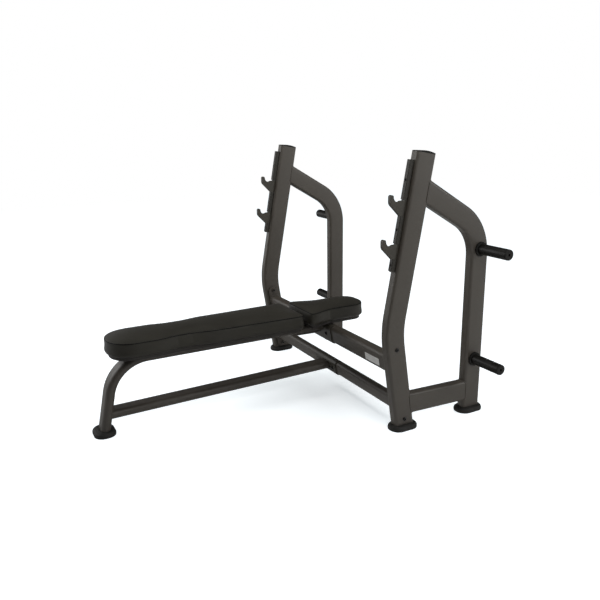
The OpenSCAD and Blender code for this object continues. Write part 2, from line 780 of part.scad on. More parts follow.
upper_crossbeam();
lower_crossbeam();
frame_bolts();
frame_nuts();
bench_tube();
stretcher();
upper_saddle();
lower_saddle();
saddle_bolts();
bench_gusset();
head_support_bar();
main_pad_board();
head_pad_board();
main_pad();
head_pad();
pad_bolts();
guard_screws();
horn_collars();
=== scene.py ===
"""Flat bench press rack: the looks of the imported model.

Lengths are written in millimetres in the row's frame (+Z up, +Y towards the head end) and turned to
metres where a mesh is made. Angles are in degrees. Tubes are outlines carried along a path, pads are
rings of one plan outline.
"""
import json
import math

import bmesh
import bpy
import numpy as np
from mathutils import Matrix, Vector


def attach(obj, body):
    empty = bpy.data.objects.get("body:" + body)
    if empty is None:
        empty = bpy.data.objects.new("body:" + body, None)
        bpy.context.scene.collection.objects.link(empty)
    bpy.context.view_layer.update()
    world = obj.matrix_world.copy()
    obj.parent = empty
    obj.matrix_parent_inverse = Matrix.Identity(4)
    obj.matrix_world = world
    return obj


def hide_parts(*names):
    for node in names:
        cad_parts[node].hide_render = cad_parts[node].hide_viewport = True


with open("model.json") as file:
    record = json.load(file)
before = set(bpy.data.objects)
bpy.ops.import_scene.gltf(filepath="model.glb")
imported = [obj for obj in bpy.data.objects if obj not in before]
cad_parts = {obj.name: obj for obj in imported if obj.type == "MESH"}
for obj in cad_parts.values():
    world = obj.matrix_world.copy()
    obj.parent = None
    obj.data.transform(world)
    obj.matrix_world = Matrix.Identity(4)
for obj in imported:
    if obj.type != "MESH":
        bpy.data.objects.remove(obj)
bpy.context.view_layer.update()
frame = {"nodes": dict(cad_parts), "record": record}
scene = bpy.context.scene
scene.view_settings.view_transform = "Standard"
NODES = frame["nodes"]
SIDES = ((-1, "left"), (1, "right"))
MM = 0.001
METRE = 1000.0


def tan(degrees):
    """Tangent of an angle in degrees."""
    return math.tan(math.radians(degrees))


def cos(degrees):
    """Cosine of an angle in degrees."""
    return math.cos(math.radians(degrees))


def unit(degrees):
    """Unit vector at an angle from +Y towards +Z, as (y, z)."""
    return np.array([cos(degrees), math.sin(math.radians(degrees))])


# Sizes of the rack, as in the part's source

# Outlines of tubes, as (width, depth, corner radius)
TUBE = (48.0, 96.0, 13.0)
BENCH_TUBE = (88.0, 42.0, 20.99)
STRETCHER = (84.0, 40.0, 19.99)
# Height at which tubes start, inside their shoes
TUBE_FOOT = 8.0
# How much narrower the posts and rails are drawn, which end inside a tube of the same width
POST_TRIM = 0.2
RAIL_TRIM = 0.5

# Side frames: middle lines, where two of them meet, and the radii of their bends
FRAME_X = 605.0
POST_Y = 771.5
POST_CORNER_Z = 863.0
POST_BEND = 207.0
BRACE_SLOPE = 30.3
BEND_Y = 319.5
BEND_Z = 458.0
UPRIGHT_BEND = 420.0
LOWER_LEAN = 8.9
UPPER_LEAN = 10.5
UPRIGHT_TOP = 1195.0
RAIL_Z = 119.0
RAIL_FALL = 1.6

# Crossbeams, as (y, z, depth, height), and the plates of the saddles before them
UPPER_BEAM = (343.62, 304.0, 52.0, 87.0)
LOWER_BEAM = (373.21, 115.0, 42.0, 71.0)
BEAMS = (("upper", UPPER_BEAM), ("lower", LOWER_BEAM))
BEAM_CORNER = 18.0
BEAM_END = 573.0
SADDLE = 5.0
# The beams' own directions to the rear and up, as (y, z)
BACK = unit(LOWER_LEAN)
UP = np.array([-BACK[1], BACK[0]])

# Shoes, as (width, length, corner radius)
SHOE_SIZE = (90.0, 138.0, 43.0)
BENCH_SHOE_SIZE = (124.0, 96.0, 44.0)

# Bench: the leg's line meets the floor at LEG_Y, half a shoe behind the front of the rack
RACK_FRONT = -840.5
LEG_LEAN = 11.6
LEG_BEND = 180.0
LEG_Y = RACK_FRONT + BENCH_SHOE_SIZE[1] / 2 - TUBE_FOOT * tan(LEG_LEAN)
BENCH_Z = 332.0
STRETCHER_Z = 92.0
STRETCHER_END_Z = 114.0
STRETCHER_RISE = 1.1

# Pads along Y
PAD_FRONT = LEG_Y + 41.5
HEAD_FRONT = UPPER_BEAM[0] - 146.0
PAD_GAP = 41.0
MAIN_LENGTH = HEAD_FRONT - PAD_GAP - PAD_FRONT
HEAD_LENGTH = 342.0


# Meshes

def link(name, verts, faces, material, sharp=35.0, merge=0.0):
    """Makes a mesh of points in millimetres and faces, and seats it on the root.

    The faces look outwards by the sign of the mesh's volume.
    """
    mesh = bpy.data.meshes.new(name)
    mesh.from_pydata((np.asarray(verts, float) * MM).tolist(), [], faces)
    bm = bmesh.new()
    bm.from_mesh(mesh)
    if merge:
        bmesh.ops.remove_doubles(bm, verts=bm.verts, dist=merge * MM)
        bmesh.ops.dissolve_degenerate(bm, edges=bm.edges, dist=1e-7)
    bmesh.ops.recalc_face_normals(bm, faces=bm.faces)
    if bm.calc_volume(signed=True) < 0:
        bmesh.ops.reverse_faces(bm, faces=bm.faces)
    bm.to_mesh(mesh)
    bm.free()
    mesh.polygons.foreach_set("use_smooth", np.ones(len(mesh.polygons), bool))
    mesh.set_sharp_from_angle(angle=math.radians(sharp))
    obj = bpy.data.objects.new(name, mesh)
    scene.collection.objects.link(obj)
    obj.data.materials.append(material)
    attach(obj, "root")
    return obj


def quads(rows, cols, around=True, along=False):
    """Faces of a grid of rows by cols, closed round the columns and, if asked, along the rows."""
    r = np.arange(rows if along else rows - 1)
    c = np.arange(cols if around else cols - 1)
    r, c = np.meshgrid(r, c, indexing="ij")
    r2, c2 = (r + 1) % rows, (c + 1) % cols
    corners = [r * cols + c, r * cols + c2, r2 * cols + c2, r2 * cols + c]
    return np.stack(corners, -1).reshape(-1, 4).tolist()


def lids(rows, cols):
    """Flat faces over the first and the last ring of a grid of rows by cols."""
    return [list(range(cols)), list(range((rows - 1) * cols, rows * cols))]


def circle(count):
    """Angles of a number of points, evenly round a circle."""
    return np.linspace(0, 2 * math.pi, count + 1)[:-1]


def directions(curve):
    """Unit direction at each point of a closed curve, taken across its two neighbours."""
    t = np.roll(curve, -1, 0) - np.roll(curve, 1, 0)
    return t / np.linalg.norm(t, axis=1, keepdims=True)


def at_height(outline, z):
    """Points of an outline in X and Y, all at one height."""
    return np.hstack([outline, np.full((len(outline), 1), z)])


def rounded(w, d, r, steps=10):
    """Outline of a rounded rectangle: a quarter circle about each of its four corner centres."""
    a = np.linspace(0, math.pi / 2, steps)
    corners = ((1, 1, 0), (-1, 1, 1), (-1, -1, 2), (1, -1, 3))
    return np.concatenate([np.stack([sx * (w / 2 - r) + r * np.cos(a + k * math.pi / 2),
                                     sy * (d / 2 - r) + r * np.sin(a + k * math.pi / 2)], -1)
                           for sx, sy, k in corners])


def narrower(trim, steps=10):
    """The frame tube's outline, a hair narrower."""
    return rounded(TUBE[0] - trim, *TUBE[1:], steps)


def bent_path(start, heading, legs, arc_steps=28):
    """Path in the Y-Z plane: straight runs joined by circular arcs, heading from +Z towards +Y.

    Each leg is (run, turn, radius); a point of an arc is its centre minus the radius along the turned
    normal. Returns the points and the in-plane normals, both as (y, z).
    """
    p, h = np.array(start, float), math.radians(heading)
    points, normals = [p[None]], [np.array([[math.cos(h), -math.sin(h)]])]
    for run, turn, radius in legs:
        p = p + run * np.array([math.sin(h), math.cos(h)])
        points.append(p[None])
        normals.append(np.array([[math.cos(h), -math.sin(h)]]))
        if turn:
            t = math.radians(turn)
            side = math.copysign(1.0, t)
            centre = p + side * radius * np.array([math.cos(h), -math.sin(h)])
            a = h + np.linspace(0, t, arc_steps)[1:]
            n = np.stack([np.cos(a), -np.sin(a)], -1)
            points.append(centre - side * radius * n)
            normals.append(n)
            p, h = points[-1][-1], h + t
    return np.concatenate(points), np.concatenate(normals)


def carry(name, outline, centre, across, upward, node):
    """Carries an outline along a path: point = centre + a * across + b * upward, with flat ends."""
    grid = (centre[:, None] + outline[None, :, :1] * across[:, None]
            + outline[None, :, 1:] * upward[:, None])
    rows, cols = grid.shape[:2]
    obj = link(name, grid.reshape(-1, 3), quads(rows, cols) + lids(rows, cols),
               powder_coat)
    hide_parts(node)


def side_tube(name, outline, x, path, node):
    """Tube whose middle line runs in a plane of constant X: the outline's first axis lies along X."""
    points, normals = path
    ones = np.ones((len(points), 1))
    carry(name, outline, np.hstack([ones * x, points]), ones * [[1.0, 0, 0]],
          np.hstack([ones * 0, normals]), node)


def bead(name, curve, axis, radius):
    """Weld bead: circles along a closed curve, their radius waving by a share with every ripple."""
    ripple, share, points = 5.0, 0.16, 8
    t = directions(curve)
    n = np.cross(t, np.asarray(axis, float)[None])
    n /= np.linalg.norm(n, axis=1, keepdims=True)
    b = np.cross(t, n)
    steps = np.linalg.norm(np.diff(curve, axis=0), axis=1)
    s = np.concatenate([[0], np.cumsum(steps)])
    r = radius * (1 + share * np.abs(np.sin(math.pi * s / ripple)))
    u = circle(points)
    grid = curve[:, None] + r[:, None, None] * (np.cos(u)[None, :, None] * n[:, None]
                                                + np.sin(u)[None, :, None] * b[:, None])
    link(name, grid.reshape(-1, 3), quads(len(curve), points, along=True),
         powder_coat, sharp=60.0)


def even(curve, spacing, closed=True):
    """The same curve with points at an even spacing, by linear interpolation along its length."""
    c = np.vstack([curve, curve[:1]]) if closed else curve
    s = np.concatenate([[0], np.cumsum(np.linalg.norm(np.diff(c, axis=0), axis=1))])
    count = max(int(s[-1] / spacing), 3)
    q = np.linspace(0, s[-1], count + 1)
    q = q[:-1] if closed else q
    return np.stack([np.interp(q, s, c[:, k]) for k in range(c.shape[1])], -1)


def smooth(points, count):
    """Smooth curve through control points: cubic pieces whose slopes span the neighbouring points."""
    p = np.asarray(points, float)
    m = np.gradient(p, axis=0)
    t = np.linspace(0, len(p) - 1, count)
    i = np.clip(t.astype(int), 0, len(p) - 2)
    f = (t - i)[:, None]
    return ((2 * f ** 3 - 3 * f ** 2 + 1) * p[i] + (f ** 3 - 2 * f ** 2 + f) * m[i]
            + (3 * f ** 2 - 2 * f ** 3) * p[i + 1] + (f ** 3 - f ** 2) * m[i + 1])


# Materials

def linear(code):
    """sRGB hex colour to linear RGBA by the sRGB curve."""
    c = np.array([int(code[i:i + 2], 16) for i in (1, 3, 5)]) / 255
    c = np.where(c <= 0.04045, c / 12.92, ((c + 0.055) / 1.055) ** 2.4)
    return (*c.tolist(), 1.0)


def add(tree, kind, settings=None, sockets=None):
    """Adds a node with its settings; a socket takes a value, or a link to another node's output."""
    node = tree.nodes.new(kind)
    for key, value in (settings or {}).items():
        setattr(node, key, value)
    for key, value in (sockets or {}).items():
        if isinstance(value, bpy.types.NodeSocket):
            tree.links.new(value, node.inputs[key])
        else:
            node.inputs[key].default_value = value
    return node


def maths(tree, operation, *values):
    """Result of a sum on values or other nodes' outputs."""
    return add(tree, "ShaderNodeMath", {"operation": operation}, dict(enumerate(values))).outputs[0]


def measured(tree, operation, place, other):
    """A number from two vectors, such as their distance."""
    return add(tree, "ShaderNodeVectorMath", {"operation": operation},
               {0: place, 1: other}).outputs["Value"]


def ranged(tree, value, old, new, course="LINEAR"):
    """A number carried over from one range to another and held at the ends."""
    return add(tree, "ShaderNodeMapRange", {"interpolation_type": course},
               {"Value": value, "From Min": old[0], "From Max": old[1],
                "To Min": new[0], "To Max": new[1]}).outputs["Result"]


def blank(owner):
    """The node tree of a material or a world, emptied."""
    owner.use_nodes = True
    owner.node_tree.nodes.clear()
    return owner.node_tree


def finish(name, low, high, tint_mm, grain_mm, rough, grain_depth, sockets, cells=False, layers_mm=0.0):
    """A surface with a broad mottle between two colours, bump of fine grain, and mottled roughness.

    tint_mm and grain_mm are the sizes of the mottle and of the grain, grain_depth is the bump's in
    millimetres, and rough is the range of roughness. cells takes rounded cells as the grain, and
    layers_mm adds level layers, as in the edge of plywood.
    """
    mat = bpy.data.materials.new(name)
    tree = blank(mat)
    place = add(tree, "ShaderNodeTexCoord").outputs["Object"]
    mottle = add(tree, "ShaderNodeTexNoise", None,
                 {"Vector": place, "Scale": METRE / tint_mm,
                  "Detail": 4.0, "Roughness": 0.55}).outputs["Fac"]
    if layers_mm:
        height = add(tree, "ShaderNodeSeparateXYZ", None, {"Vector": place}).outputs["Z"]
        ply = maths(tree, "SINE", maths(tree, "MULTIPLY", height, 2 * math.pi * METRE / layers_mm))
        mottle = maths(tree, "MULTIPLY_ADD", ply, 0.35, mottle)
    colour = add(tree, "ShaderNodeValToRGB", None, {"Fac": mottle})
    for stop, position, code in zip(colour.color_ramp.elements, (0.32, 0.68), (low, high)):
        stop.position, stop.color = position, linear(code)
    if cells:
        fine = add(tree, "ShaderNodeTexVoronoi", {"feature": "SMOOTH_F1"},
                   {"Vector": place, "Scale": METRE / grain_mm, "Smoothness": 0.6}).outputs["Distance"]
    else:
        fine = add(tree, "ShaderNodeTexNoise", None,
                   {"Vector": place, "Scale": METRE / grain_mm, "Detail": 2.0}).outputs["Fac"]
    bump = add(tree, "ShaderNodeBump", None,
               {"Height": fine, "Strength": 0.6, "Distance": grain_depth * MM})
    shader = add(tree, "ShaderNodeBsdfPrincipled", None,
                 {"Base Color": colour.outputs["Color"],
                  "Roughness": ranged(tree, mottle, (0.3, 0.7), rough),
                  "Normal": bump.outputs["Normal"], **sockets})
    add(tree, "ShaderNodeOutputMaterial", None, {"Surface": shader.outputs["BSDF"]})
    return mat


# Powder coat, sprayed and baked: satin charcoal, slight orange peel, drawn coarser than its real 2 mm
powder_coat = finish("charcoal_powder_coat", "#3b362f", "#413c35", 160, 5.0, (0.42, 0.52), 0.12,
                     {"IOR": 1.5})
# The same coat in black, on the hook plates and the saddles
black_coat = finish("black_powder_coat", "#302d26", "#37342c", 90, 4.0, (0.4, 0.52), 0.12,
                    {"IOR": 1.5, "Specular IOR Level": 0.4})
# Enamel, dipped and stoved: near black, even, on the horns
enamel = finish("black_stoved_enamel", "#0f0e0c", "#151411", 70, 4.0, (0.38, 0.5), 0.1,
                {"IOR": 1.5, "Specular IOR Level": 0.22})
# Nylon, injection moulded: near black, light spark-eroded texture
nylon = finish("moulded_nylon", "#26241f", "#2d2b25", 60, 1.8, (0.45, 0.58), 0.1,
               {"IOR": 1.53, "Specular IOR Level": 0.25})
# Polyethylene, moulded: black and matt, on the plugs in tube ends and the horns' collars
polyethylene = finish("matt_polyethylene", "#10100e", "#171614", 40, 2.0, (0.6, 0.75), 0.1,
                      {"IOR": 1.52, "Specular IOR Level": 0.2})
# Rubber, compression moulded: black, dull, with a dusty bloom in patches
rubber = finish("moulded_rubber", "#161513", "#201f1c", 45, 1.5, (0.6, 0.78), 0.12,
                {"IOR": 1.52, "Specular IOR Level": 0.35})
# Upholstery vinyl, calendered and embossed: dark, satin, with small rounded grain cells
vinyl = finish("embossed_vinyl", "#26241e", "#2c2a23", 120, 3.2, (0.46, 0.58), 0.22,
               {"IOR": 1.5, "Specular IOR Level": 0.3}, cells=True)
# Cord in the seam, covered in near-black vinyl as painted seam shade: a dark line round the seam
seam_shade_vinyl = finish("seam_shade_vinyl", "#0b0b0a", "#11110f", 30, 2.0, (0.6, 0.72), 0.12,
                    {"IOR": 1.5, "Specular IOR Level": 0.15})
# Plywood, stained black: level plies show at the edge
plywood = finish("stained_plywood", "#14120f", "#2a2520", 70, 2.5, (0.6, 0.8), 0.2,
                 {"IOR": 1.5}, layers_mm=3.0)
# Steel with black oxide: dark, oily sheen
black_oxide = finish("black_oxide_steel", "#141414", "#202020", 12, 1.2, (0.3, 0.42), 0.05,
                     {"Metallic": 0.6})
# Aluminium plate, rolled and clear lacquered: pale grey, soft gloss
bare_plate = finish("lacquered_aluminium", "#c2c1be", "#d0cfcc", 25, 0.8, (0.32, 0.42), 0.03,
                    {"Metallic": 0.25})
# Sewing thread, bonded polyester: matt, as dark as the vinyl
thread = finish("bonded_thread", "#262522", "#33312d", 6, 0.9, (0.6, 0.75), 0.15, {"IOR": 1.5})

FINISHES = {"frame_paint": powder_coat, "dark_paint": black_coat, "black_plastic": nylon,
            "rubber": rubber, "vinyl": vinyl, "board": plywood, "black_steel": black_oxide}
# Nodes, by their name or its last word, whose finish differs from the rest of their slot
OWN_FINISH = {"frame_nuts": powder_coat, "horn": enamel, "cap": polyethylene,
              "horn_collars": polyethylene}
for part in frame["record"]["subparts"]:
    node = part["node"]
    usual = OWN_FINISH.get(node.split("_")[-1], FINISHES[part["material_slot"]])
    for place in NODES[node].material_slots:
        place.material = OWN_FINISH.get(node, usual)


# Frame tubes

def upright_y(z):
    """Middle line of the upright, taken as two straight lines that meet at the bend."""
    return BEND_Y + (z - BEND_Z) * tan(-LOWER_LEAN if z < BEND_Z else UPPER_LEAN)


def leg_y(z):
    """Middle line of the bench's leg."""
    return LEG_Y + z * tan(LEG_LEAN)


def saddle_front(place, z):
    """Where a saddle's leaning front, one plate before its beam, stands at a height."""
    y, middle, depth, _ = place
    return y - (depth / 2 + SADDLE) / cos(LOWER_LEAN) - (z - middle) * tan(LOWER_LEAN)


def cut_to_beam(path):
    """Turns the last section of a path to the beams' lean, so that the tube's end lies on a saddle."""
    points, normals = path
    normals[-1] = (tan(LOWER_LEAN), -1.0)
    return points, normals


def upright_path():
    """From inside the foot up to the cap, with one arc at the bend."""
    turn = LOWER_LEAN + UPPER_LEAN
    tangent = UPRIGHT_BEND * tan(turn / 2)
    low = (BEND_Z - TUBE_FOOT) / cos(LOWER_LEAN) - tangent
    high = (UPRIGHT_TOP - BEND_Z) / cos(UPPER_LEAN) - tangent
    return bent_path((upright_y(TUBE_FOOT), TUBE_FOOT), -LOWER_LEAN,
                     [(low, turn, UPRIGHT_BEND), (high, 0, 0)])


def post_path():
    """Up the rear post, over its arc and along the brace to the middle of the upright."""
    turn = 90.0 - BRACE_SLOPE
    tangent = POST_BEND * tan(turn / 2)
    forward, rise = unit(BRACE_SLOPE)
    lean = tan(UPPER_LEAN)
    reach = (POST_Y - BEND_Y - (POST_CORNER_Z - BEND_Z) * lean) / (forward + rise * lean)
    return bent_path((POST_Y, TUBE_FOOT), 0.0,
                     [(POST_CORNER_Z - TUBE_FOOT - tangent, -turn, POST_BEND), (reach - tangent, 0, 0)])


def rail_path():
    """From the middle line of the upright back to that of the rear post, falling slightly."""
    start = upright_y(RAIL_Z)
    z = RAIL_Z - (start - BEND_Y) * tan(RAIL_FALL)
    return bent_path((start, z), 90.0 + RAIL_FALL, [(POST_Y - start, 0, 0)])


def bench_path():
    """Up the front leg, over its arc and along the bench to the upper saddle."""
    turn = 90.0 - LEG_LEAN
    tangent = LEG_BEND * tan(turn / 2)
    leg = (BENCH_Z - TUBE_FOOT) / cos(LEG_LEAN) - tangent
    bench = saddle_front(UPPER_BEAM, BENCH_Z) - leg_y(BENCH_Z) - tangent
    return cut_to_beam(bent_path((leg_y(TUBE_FOOT), TUBE_FOOT), LEG_LEAN,
                                 [(leg, turn, LEG_BEND), (bench, 0, 0)]))


def stretcher_path():
    """From just behind the leg's middle line back to the lower saddle, rising slightly."""
    behind, above = 4.0, 0.1
    start = leg_y(STRETCHER_Z) + behind
    run = saddle_front(LOWER_BEAM, STRETCHER_END_Z) - start
    return cut_to_beam(bent_path((start, STRETCHER_Z + above), 90.0 - STRETCHER_RISE, [(run, 0, 0)]))


def beam_section(place):
    """A crossbeam's rounded section."""
    return rounded(*place[2:], BEAM_CORNER, steps=12)


for side, name in SIDES:
    x = side * FRAME_X
    side_tube(name + "_upright_tube", rounded(*TUBE), x, upright_path(), name + "_upright")
    side_tube(name + "_post_and_brace", narrower(POST_TRIM), x, post_path(), name + "_rear_post")
    side_tube(name + "_rail_tube", narrower(RAIL_TRIM), x, rail_path(), name + "_side_rail")

side_tube("bench_and_leg_tube", rounded(*BENCH_TUBE, steps=16), 0.0, bench_path(), "bench_tube")
side_tube("stretcher_tube", rounded(*STRETCHER, steps=16), 0.0, stretcher_path(), "stretcher")

# Crossbeams lean with the uprights and run along X between the end plates
two = np.ones((2, 1))
for name, place in BEAMS:
    ends = np.array([[-BEAM_END, *place[:2]], [BEAM_END, *place[:2]]])
    carry(name + "_beam_tube", beam_section(place), ends, two * [[0, *BACK]], two * [[0, *UP]],
          name + "_crossbeam")


# Welds

# Spacing of a weld's points, the radii of the beads, and how far they sink into a plate or a tube
WELD_STEP = 2.5
BEAM_WELD = 2.2
TUBE_WELD = 2.4
WELD_SINK = 0.5
WELD_TRIM = 0.6
for _, place in BEAMS:
    ring = even(beam_section(place), WELD_STEP)
    leaning = ring[:, :1] * BACK + ring[:, 1:] * UP + [place[:2]]
    for side, name in SIDES:
        curve = np.hstack([np.full((len(ring), 1), side * (BEAM_END - WELD_SINK)), leaning])
        bead(f"{name}_beam_weld_{int(place[1])}", curve, (1, 0, 0), BEAM_WELD)


def face_weld(name, x, path, end, back, out):
    """Weld of a frame tube's end against the rounded face of another.

    Each outline point slides along the tube's own line until it meets that face: a plane through back
    with the normal out, whose edges fall away as quarter circles.
    """
    ring = even(narrower(WELD_TRIM, steps=14), WELD_STEP)
    point, normal = path[0][end], path[1][end]
    way = np.array([-normal[1], normal[0]])
    width, _, r = TUBE
    over = np.clip(np.abs(ring[:, 0]) - (width / 2 - r), 0, r)
    fall = r - np.sqrt(r * r - over * over)
    yz = point[None] + ring[:, 1:] * normal[None]
    gap = (yz - back[None]) @ out + fall
    yz = yz - (gap / (way @ out))[:, None] * way[None]
    bead(name, np.hstack([x + ring[:, :1], yz]), (0.0, *way), TUBE_WELD)


half = TUBE[1] / 2
bend = np.array([BEND_Y, BEND_Z])
upper_out, post_out = unit(-UPPER_LEAN), np.array([-1.0, 0.0])
for side, name in SIDES:
    x = side * FRAME_X
    face_weld(name + "_brace_weld", x, post_path(), -1, bend + half * upper_out, upper_out)
    face_weld(name + "_rail_front_weld", x, rail_path(), 0, bend + half * BACK, BACK)
    face_weld(name + "_rail_rear_weld", x, rail_path(), -1, np.array([POST_Y - half, 0.0]), post_out)


# Feet: a low shoe with a round rim, as rings of one outline from the floor up to the tube

# Side of a shoe from the floor up, as (inset, height)
SHOE = [(4, 0), (1.2, 0.5), (0.3, 1.8), (0, 4), (0, 10), (0.6, 13.5), (2.4, 17.2), (5.6, 20.6),
        (9.6, 23), (13.5, 24.2), (16.5, 24.6), (18, 25.4), (18.4, 26)]
SHOE_RINGS = 40
LEAST_CORNER = 4.0


def shoe(name, node, x, y, width, length, corner):
    """Shoe: each ring is the rounded outline drawn in by SHOE's inset, at SHOE's height."""
    def outline(i):
        inner = rounded(width - 2 * i, length - 2 * i, max(corner - i, LEAST_CORNER), steps=14)
        return inner + [[x, y]]

    rings = np.array([at_height(outline(i), z) for i, z in smooth(SHOE, SHOE_RINGS)])
    size = rings.shape[:2]
    obj = link(name, rings.reshape(-1, 3), quads(*size) + lids(*size), rubber,
               sharp=50.0, merge=0.001)
    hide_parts(node)


for side, name in SIDES:
    x = side * FRAME_X
    shoe(name + "_front_shoe", name + "_front_foot", x, upright_y(TUBE_FOOT), *SHOE_SIZE)
    shoe(name + "_rear_shoe", name + "_rear_foot", x, POST_Y, *SHOE_SIZE)
shoe("bench_shoe", "bench_foot_shoe", 0.0, leg_y(TUBE_FOOT), *BENCH_SHOE_SIZE)


# Pads

# Side of a pad from the underside to the seam, as (inset, height): base roll, upright side, seam groove
SIDE = [(17, 367), (9, 368), (2.6, 371), (-1.4, 376), (-2.6, 383), (-1.8, 391), (-0.6, 399),
        (0.2, 407), (0.6, 415), (0.5, 422), (0.3, 427)]
SIDE_RINGS = 30
SEAM = [(0.5, 427.9), (1.6, 428.5), (5.2, 429.0), (5.4, 432.5), (2.4, 433.2)]
# Crown above the seam: inset and height of its edge, its rise, and how steeply it starts
CROWN_INSET = 1.6
CROWN_Z = 433.9
CROWN_RISE = 10.5
CROWN_POWER = 2.3
# Shares of the way to the middle line at which the rings of underside and crown stand, and how much of
# a share the ends are drawn in by
END_DRAW = 0.35
UNDER_SHARES = (1.0, 0.75, 0.5, 0.25, 0.08)
CROWN_SHARES = (0.012, 0.04, 0.085, 0.15, 0.23, 0.33, 0.45, 0.58, 0.72, 0.86, 1.0)
# The crown's third ring carries the stitches
STITCH_RING = len(UNDER_SHARES) + SIDE_RINGS + len(SEAM) + 2
# The cover is held below a height at the base and near a height in the seam
HELD_BELOW = 369.0
HELD_AT = 430.9
HELD_NEAR = 2.6
CLOTH_FRAMES = 20
CLOTH_REACH = 3.0
# Height of the near-black cord that paints the seam's shade
SEAM_SHADE_Z = 430.8


def ease(t):
    """Half a cosine wave from 0 to 1."""
    return (1 - np.cos(math.pi * np.clip(t, 0, 1))) / 2


def half_width(stops, t):
    """Half the width at a distance from the front: each stop's width eased to the next one's."""
    w = np.full_like(t, stops[0][1])
    for (a, wa), (b, wb) in zip(stops, stops[1:]):
        w = np.where(t >= a, wa + (wb - wa) * ease((t - a) / (b - a)), w)
    return w


def plan(stops, length, front_r, rear_r, spacing):
    """Plan outline of a pad: its right edge, a quarter circle at each end, and its mirror image."""
    a = np.linspace(0, math.pi / 2, 40)
    front_w, rear_w = half_width(stops, np.array([front_r, length - rear_r]))
    front = np.stack([front_w - front_r * (1 - np.sin(a)), front_r * (1 - np.cos(a))], -1)
    t = np.linspace(front_r, length - rear_r, 120)[1:-1]
    rear = np.stack([rear_w - rear_r * (1 - np.cos(a)), length - rear_r * (1 - np.sin(a))], -1)
    right = np.vstack([[[0, 0]], front, np.stack([half_width(stops, t), t], -1), rear, [[0, length]]])
    right = even(right, spacing, closed=False)
    left = right[-2:0:-1] * [[-1, 1]]
    return np.vstack([right, left])


def inwards(outline, distance):
    """Outline moved inwards along the normal at each point."""
    t = directions(outline)
    return outline + distance * np.stack([-t[:, 1], t[:, 0]], -1)


def pad_grid(outline, length, front):
    """Rings of a pad: flat underside, side profile, seam groove, then a crown up to the middle line.

    A ring at share s is the outline with its width times 1 - s and its length times 1 - END_DRAW * s;
    the crown rises by 1 - (1 - s) to its power.
    """
    def drawn(base, s):
        y = length / 2 + (base[:, 1] - length / 2) * (1 - END_DRAW * s)
        return np.stack([base[:, 0] * (1 - s), y], -1)

    inset, bottom = SIDE[0]
    under, top = inwards(outline, inset), inwards(outline, CROWN_INSET)
    rows = [at_height(drawn(under, s), bottom) for s in UNDER_SHARES]
    rows += [at_height(inwards(outline, i), z)
             for i, z in np.vstack([smooth(SIDE, SIDE_RINGS), SEAM])]
    rows += [at_height(drawn(top, s), CROWN_Z + CROWN_RISE * (1 - (1 - s) ** CROWN_POWER))
             for s in CROWN_SHARES]
    return np.array(rows) + [[[0, front, 0]]]


def fill_out(obj):
    """Presses the cover out from inside as cloth, held at base and seam.

    A move of length m is cut to reach * tanh(m / reach), so that it stays under the reach.
    """
    mesh = obj.data
    rest = np.empty(len(mesh.vertices) * 3)
    mesh.vertices.foreach_get("co", rest)
    rest = rest.reshape(-1, 3)
    z = rest[:, 2] / MM
    held = (z < HELD_BELOW) | (np.abs(z - HELD_AT) < HELD_NEAR)
    group = obj.vertex_groups.new(name="held")
    group.add(np.nonzero(held)[0].tolist(), 1.0, "REPLACE")
    cloth = obj.modifiers.new("foam", "CLOTH")
    cloth.settings.use_pressure = True
    cloth.settings.uniform_pressure_force = 4.0
    cloth.settings.effector_weights.gravity = 0.0
    cloth.settings.vertex_group_mass = "held"
    cloth.settings.quality = 5
    cloth.settings.tension_stiffness = cloth.settings.compression_stiffness = 30.0
    cloth.settings.bending_stiffness = 4.0
    cloth.collision_settings.use_collision = False
    for number in range(1, CLOTH_FRAMES + 1):
        scene.frame_set(number)
    worked = obj.evaluated_get(bpy.context.evaluated_depsgraph_get()).to_mesh()
    moved = np.empty(len(worked.vertices) * 3)
    worked.vertices.foreach_get("co", moved)
    move = moved.reshape(-1, 3) - rest
    far = np.linalg.norm(move, axis=1, keepdims=True)
    limit, least = CLOTH_REACH * MM, 1e-9
    move *= np.where(far > least, limit * np.tanh(far / limit) / np.maximum(far, least), 0.0)
    obj.modifiers.remove(cloth)
    obj.vertex_groups.remove(group)
    scene.frame_set(1)
    mesh.vertices.foreach_set("co", (rest + move).ravel())
    mesh.update()


def stitches(name, ring):
    """Row of stitches: short bars along a ring, open at the ends.

    A bar's section has six corners at even angles; each stands off the middle by the root of
    1 - u squared, with u even from -1 to 1, so that the first and the last corner meet there.
    """
    spacing, half_length, radius, lift = 7.5, 2.7, 0.75, 0.5
    loop = even(ring, spacing)
    t = directions(loop)
    up = np.array([[0, 0, 1.0]])
    out = np.cross(t, up)
    u, v = np.linspace(-1, 1, 6), circle(6)
    girth = radius * np.sqrt(np.maximum(1 - u * u, 0))
    section = girth[:, None, None] * (np.cos(v)[:, None, None] * up + np.sin(v)[:, None, None] * out)
    grid = ((loop + lift * up)[None, None] + half_length * u[:, None, None, None] * t[None, None]
            + section[None])
    points = grid.transpose(2, 0, 1, 3).reshape(-1, 3)
    one = np.array(quads(len(u), len(v)))
    first = len(u) * len(v) * np.arange(len(loop))
    faces = (one[None] + first[:, None, None]).reshape(-1, 4).tolist()
    link(name, points, faces, thread, sharp=60.0, merge=0.05)


